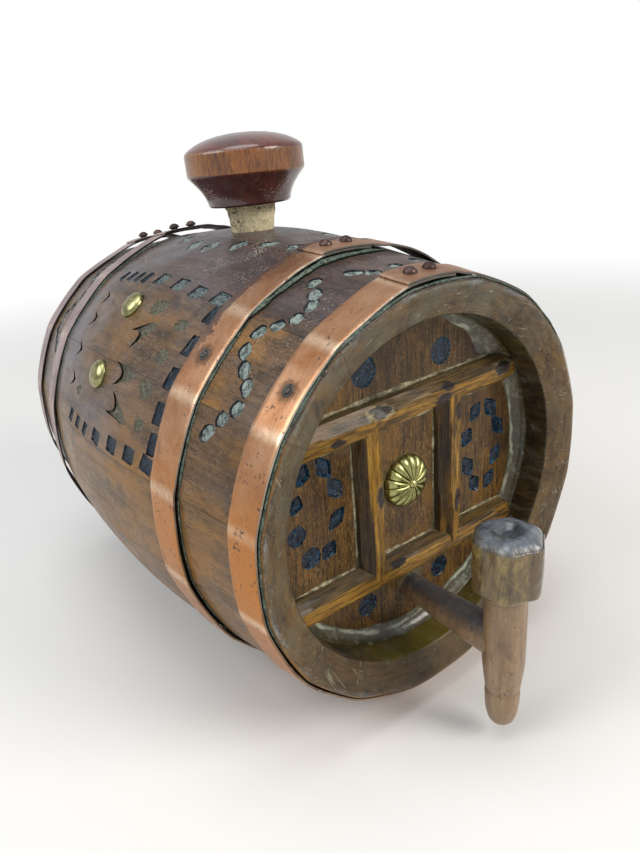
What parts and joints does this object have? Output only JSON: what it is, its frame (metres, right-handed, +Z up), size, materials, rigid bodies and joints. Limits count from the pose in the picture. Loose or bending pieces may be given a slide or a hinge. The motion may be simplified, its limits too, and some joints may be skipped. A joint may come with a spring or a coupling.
{
  "type": "oak cask liquor dispenser",
  "caption": "Bulged oak cask lying on its side, with copper hoops, a framed front head with a turning wooden tap, and a corked bung with a turned knob that lifts out.",
  "frame": {"origin": "under the middle of the whole part's box, on the surface that the bilge rests on", "axes": "+Z up, +Y from the tap end to the rear end along the cask's axis, +X to the right when the tap end is looked at"},
  "size_m": [0.254, 0.3746, 0.3087],
  "materials": {
    "stave_oak": "dark varnished oak",
    "head_oak": "dark varnished oak",
    "bar_oak": "golden brown varnished oak",
    "hoop_copper": "worn polished copper",
    "rivet_copper": "tarnished copper",
    "sealing_wax": "greyish green sealing wax",
    "nail_brass": "aged brass",
    "cork": "natural cork",
    "mahogany": "gloss varnished mahogany",
    "tap_wood": "worn bare hardwood"
  },
  "bodies": {
    "cask": {"brass_dome_nails": "nail_brass", "front_head_centre": "head_oak", "front_head_left": "head_oak", "front_head_right": "head_oak", "front_seal": "sealing_wax", "hoop_front_end": "hoop_copper", "hoop_front_inner": "hoop_copper", "hoop_rear_end": "hoop_copper", "hoop_rear_inner": "hoop_copper", "hoop_rivets": "rivet_copper", "hoop_tacks": "rivet_copper", "left_upright": "bar_oak", "lower_batten": "bar_oak", "rear_head_centre": "head_oak", "rear_head_left": "head_oak", "rear_head_right": "head_oak", "rear_seal": "sealing_wax", "right_upright": "bar_oak", "rosette_nail": "nail_brass", "stave_02": "stave_oak", "stave_03": "stave_oak", "stave_04": "stave_oak", "stave_05": "stave_oak", "stave_06": "stave_oak", "stave_07": "stave_oak", "stave_08": "stave_oak", "stave_09": "stave_oak", "stave_10": "stave_oak", "stave_11": "stave_oak", "stave_12": "stave_oak", "stave_13": "stave_oak", "stave_14": "stave_oak", "stave_15": "stave_oak", "stave_16": "stave_oak", "stave_bung": "stave_oak", "tap_barrel": "tap_wood", "tap_stem": "tap_wood", "upper_batten": "bar_oak"},
    "bung": {"bung_cork": "cork", "bung_knob": "mahogany"},
    "key": {"tap_key": "tap_wood"}
  },
  "joints": [
    {"name": "bung_lift", "type": "slide", "parent": "cask", "child": "bung", "axis": [0, 0, 1], "range_m": [0, 0.06]},
    {"name": "key_turn", "type": "hinge", "parent": "cask", "child": "key", "pos_m": [0, -0.1683, 0.0606], "axis": [0, 0, 1], "continuous": true}
  ]
}
